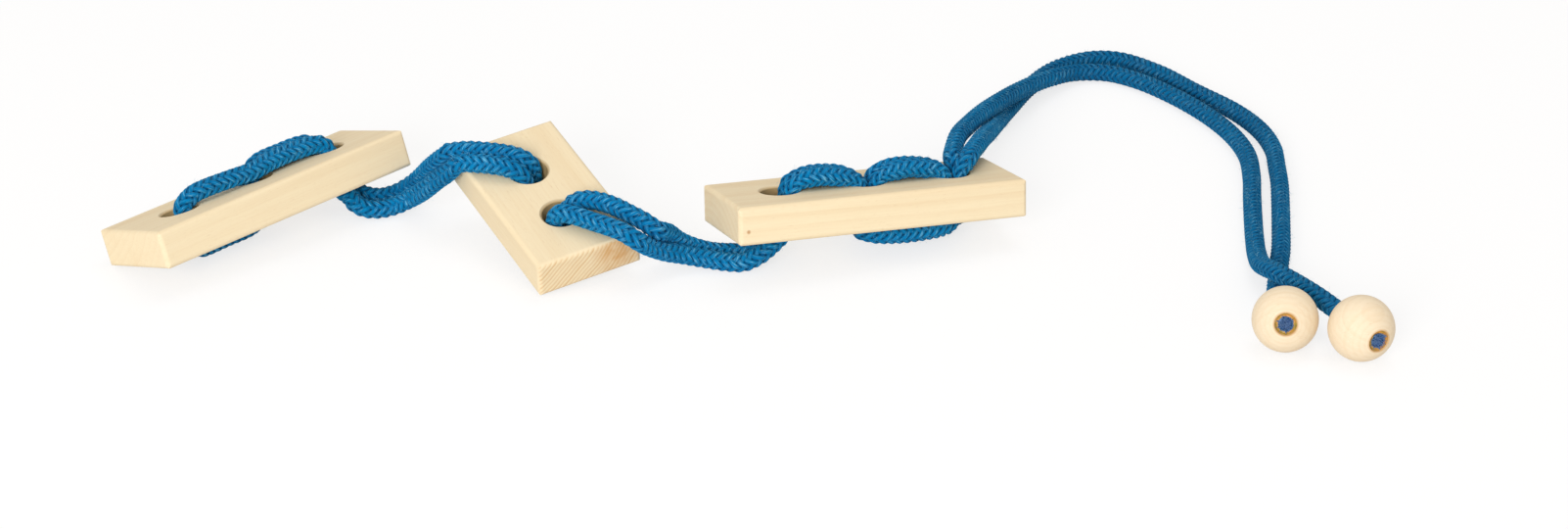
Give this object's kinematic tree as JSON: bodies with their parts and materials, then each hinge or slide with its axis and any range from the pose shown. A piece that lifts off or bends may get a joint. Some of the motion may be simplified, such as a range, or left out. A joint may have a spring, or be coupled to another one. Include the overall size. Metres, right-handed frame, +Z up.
{
  "type": "wooden rope puzzle",
  "caption": "Pale wooden blocks with drilled holes, laced in a row on a doubled blue braided cord that ends in wooden beads.",
  "frame": {"origin": "on the table, under the middle of the box round the blocks and beads", "axes": "+X to the right along the row of blocks, +Y away from the player, +Z up"},
  "size_m": [0.3369, 0.2018, 0.027],
  "materials": {
    "block_wood": "satin",
    "bead_wood": "satin",
    "cord": "braided cotton",
    "glue": "set glue"
  },
  "bodies": {
    "middle": {"middle_block": "block_wood", "middle_block_lacing": "cord", "left_link_front_strand": "cord", "left_link_back_strand": "cord", "right_link_front_strand": "cord", "right_link_back_strand": "cord"},
    "left": {"left_block": "block_wood", "left_block_lacing": "cord"},
    "right": {"right_block": "block_wood", "right_block_lacing": "cord"},
    "tails": {"outer_tail_cord": "cord", "inner_tail_cord": "cord"},
    "left_bead_end": {"left_bead": "bead_wood", "left_bead_glue": "glue", "left_bead_cord_end": "cord"},
    "right_bead_end": {"right_bead": "bead_wood", "right_bead_glue": "glue", "right_bead_cord_end": "cord"}
  },
  "joints": [
    {"name": "left_block_swing", "type": "hinge", "parent": "middle", "child": "left", "pos_m": [-0.0915, 0.037, 0.003], "axis": [0, 0, 1], "range_deg": [-35, 20], "deforming": ["left_link_front_strand", "left_link_back_strand"]},
    {"name": "right_block_swing", "type": "hinge", "parent": "middle", "child": "right", "pos_m": [-0.007, 0.0015, 0.003], "axis": [0, 0, 1], "range_deg": [-30, 30], "deforming": ["right_link_front_strand", "right_link_back_strand"]},
    {"name": "tails_swing", "type": "hinge", "parent": "right", "child": "tails", "pos_m": [0.063, 0.033, 0.019], "axis": [0, 0, 1], "range_deg": [-15, 15], "deforming": ["outer_tail_cord", "inner_tail_cord"]},
    {"name": "left_bead_swing", "type": "hinge", "parent": "tails", "child": "left_bead_end", "pos_m": [0.1429, -0.0176, 0.0025], "axis": [0, 0, 1], "range_deg": [-25, 0]},
    {"name": "right_bead_swing", "type": "hinge", "parent": "tails", "child": "right_bead_end", "pos_m": [0.1466, -0.026, 0.0089], "axis": [0, 0, 1], "range_deg": [0, 25]}
  ]
}
